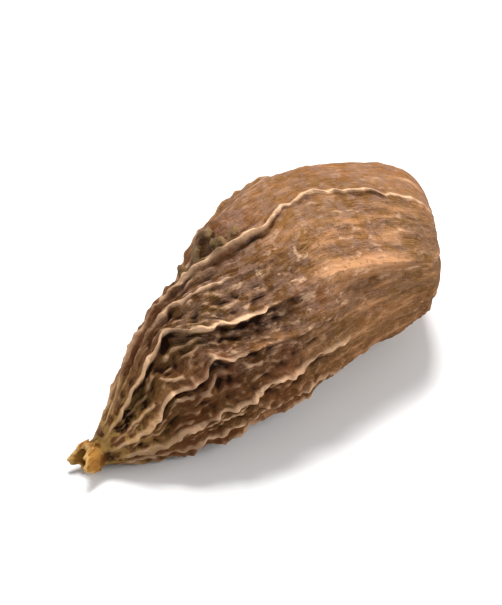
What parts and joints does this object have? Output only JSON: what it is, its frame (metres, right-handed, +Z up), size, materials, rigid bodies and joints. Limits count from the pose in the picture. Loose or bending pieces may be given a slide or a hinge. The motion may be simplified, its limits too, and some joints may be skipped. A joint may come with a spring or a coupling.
{
  "type": "black cardamom pod",
  "caption": "Whole dried black cardamom pod, ribbed and wrinkled, with a short torn stub at its narrow end.",
  "frame": {"origin": "middle of the pod's box, on the surface that it rests on", "axes": "+X from the torn stub at the narrow end to the blunt wide end, +Z up; the pod lies on its side"},
  "size_m": [0.0398, 0.0192, 0.0169],
  "materials": {
    "husk": "dry, fibrous and dull brown, with paler crests on its ribs"
  },
  "bodies": {
    "root": {"pod": "husk"}
  },
  "joints": []
}
